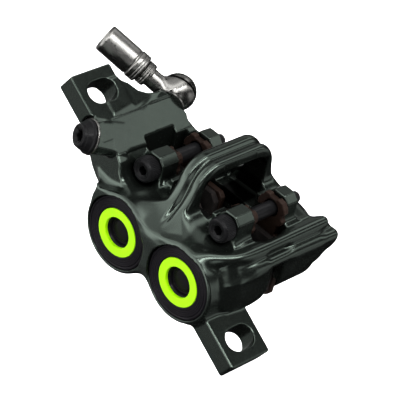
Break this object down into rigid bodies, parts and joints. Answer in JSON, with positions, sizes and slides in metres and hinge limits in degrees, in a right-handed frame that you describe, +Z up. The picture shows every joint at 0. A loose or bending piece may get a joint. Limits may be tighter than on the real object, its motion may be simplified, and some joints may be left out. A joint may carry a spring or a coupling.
{
  "type": "hydraulic disc brake caliper",
  "caption": "Forged disc brake caliper with opposed pistons, two pad windows, slotted mounting ears, bleed screw and swivelling banjo hose fitting.",
  "frame": {"origin": "midway between the two mounting slots, on the plane that the ears rest on", "axes": "+X along the ears from the hose end to the other, +Y along the wheel axle towards the wheel, +Z up out of the mounting plane, away from the mounting posts"},
  "size_m": [0.0968, 0.0512, 0.0438],
  "materials": {
    "body": "glossy dark green-grey metallic coating on a forged surface",
    "cap": "black, satin, turned",
    "colour_ring": "bright yellow-green, satin",
    "piston": "fine turned",
    "magnet": "plain",
    "seal": "matte",
    "backing": "red-brown coating, satin",
    "lining": "rough friction compound",
    "black_steel": "black, satin",
    "steel": "polished stainless",
    "brass": "plain"
  },
  "bodies": {
    "caliper": {"caliper_body": "body", "cylinder_cap_1": "cap", "cylinder_cap_2": "cap", "cap_o_ring_1": "seal", "cap_o_ring_2": "seal", "cap_colour_ring_1": "colour_ring", "cap_colour_ring_2": "colour_ring", "piston_seal_outboard_1": "seal", "piston_seal_outboard_2": "seal", "piston_seal_inboard_1": "seal", "piston_seal_inboard_2": "seal", "pad_pin_1": "black_steel", "pad_pin_2": "black_steel", "bleed_screw": "black_steel", "bleed_washer": "steel", "banjo_bolt": "steel", "banjo_washer_inner": "steel", "banjo_washer_outer": "steel"},
    "piston_outboard_1": {"piston_outboard_1": "piston", "piston_magnet_outboard_1": "magnet", "pad_backing_outboard_1": "backing", "pad_lining_outboard_1": "lining"},
    "piston_outboard_2": {"piston_outboard_2": "piston", "piston_magnet_outboard_2": "magnet", "pad_backing_outboard_2": "backing", "pad_lining_outboard_2": "lining"},
    "piston_inboard_1": {"piston_inboard_1": "piston", "piston_magnet_inboard_1": "magnet", "pad_backing_inboard_1": "backing", "pad_lining_inboard_1": "lining"},
    "piston_inboard_2": {"piston_inboard_2": "piston", "piston_magnet_inboard_2": "magnet", "pad_backing_inboard_2": "backing", "pad_lining_inboard_2": "lining"},
    "hose_end": {"banjo_fitting": "steel", "hose_sleeve": "steel", "hose_barb": "brass"}
  },
  "joints": [
    {"name": "piston_slide_outboard_1", "type": "slide", "parent": "caliper", "child": "piston_outboard_1", "axis": [0, 1, 0], "range_m": [0, 0.001]},
    {"name": "piston_slide_outboard_2", "type": "slide", "parent": "caliper", "child": "piston_outboard_2", "axis": [0, 1, 0], "range_m": [0, 0.001]},
    {"name": "piston_slide_inboard_1", "type": "slide", "parent": "caliper", "child": "piston_inboard_1", "axis": [0, -1, 0], "range_m": [0, 0.001]},
    {"name": "piston_slide_inboard_2", "type": "slide", "parent": "caliper", "child": "piston_inboard_2", "axis": [0, -1, 0], "range_m": [0, 0.001]},
    {"name": "banjo_swivel", "type": "hinge", "parent": "caliper", "child": "hose_end", "pos_m": [-0.02919, 0.02346, 0.003], "axis": [-0.4226, 0.9063, 0], "range_deg": [-43, 61]}
  ],
  "couplings": [
    {"joint": "piston_slide_outboard_2", "follows": "piston_slide_outboard_1", "ratio": 1},
    {"joint": "piston_slide_inboard_1", "follows": "piston_slide_outboard_1", "ratio": 1},
    {"joint": "piston_slide_inboard_2", "follows": "piston_slide_outboard_1", "ratio": 1}
  ]
}
